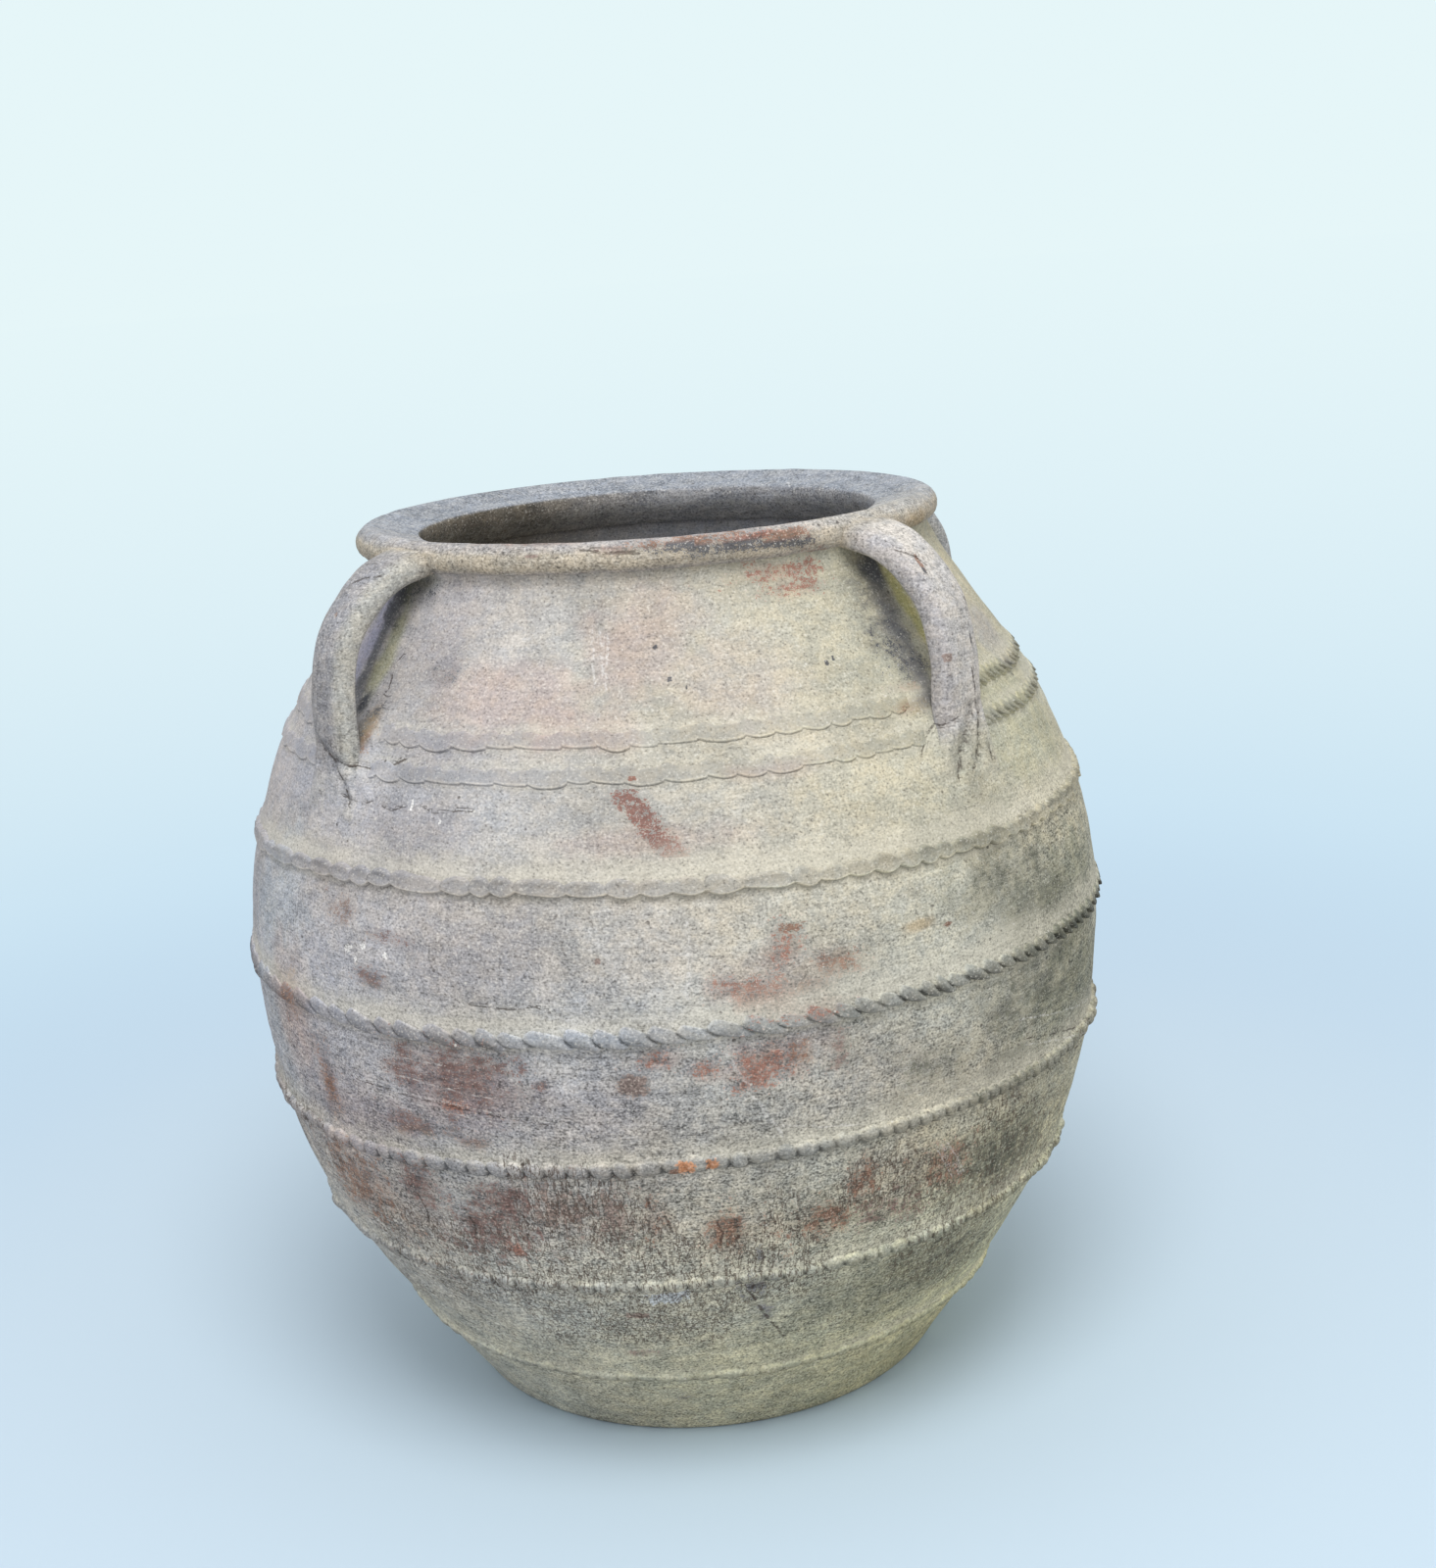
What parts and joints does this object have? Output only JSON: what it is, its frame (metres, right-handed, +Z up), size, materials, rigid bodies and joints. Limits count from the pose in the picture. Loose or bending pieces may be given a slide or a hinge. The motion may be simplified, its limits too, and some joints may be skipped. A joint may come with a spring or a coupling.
{
  "type": "four-handled clay storage jar",
  "caption": "Wide-bellied fired-clay storage jar with an everted rim, thumb-pressed clay strips round its wall, strap handles from rim to shoulder and a flat foot.",
  "frame": {"origin": "centre of the flat foot, on the surface that the jar stands on", "axes": "+Z up along the jar's turning axis; the front right handle stands 6 degrees on from +X towards +Y and -Y runs through the front left handle, so the pictured side faces 38.5 degrees from +X towards -Y"},
  "size_m": [0.6248, 0.6254, 0.63],
  "materials": {
    "foot_clay": "matt khaki-grey fired clay, dusty",
    "lower_clay": "matt grey-brown fired clay with terracotta showing through and fine upright cracks",
    "belly_clay": "matt mauve-grey fired clay with worn terracotta patches and pale scratches",
    "shoulder_clay": "matt pale cream and pinkish fired clay under dust",
    "rim_clay": "bluish-grey fired clay, worn red and black on the front lip, dark mottled inside",
    "strip_clay": "grey-beige clay strips with pale dust on the ledges and dark creases below",
    "handle_clay": "lilac-grey to yellow-cream fired clay, rubbed smooth"
  },
  "bodies": {
    "root": {"base_slab": "foot_clay", "lower_wall": "lower_clay", "belly_wall": "belly_clay", "shoulder_wall": "shoulder_clay", "rim_ring": "rim_clay", "top_flat_strip": "strip_clay", "second_flat_strip": "strip_clay", "shoulder_thumbed_strip": "strip_clay", "belly_thumbed_strip": "strip_clay", "under_belly_thumbed_strip": "strip_clay", "lower_thumbed_strip": "strip_clay", "foot_thumbed_strip": "strip_clay", "handle_front_left": "handle_clay", "handle_front_right": "handle_clay", "handle_back_right": "handle_clay", "handle_back_left": "handle_clay"}
  },
  "joints": []
}
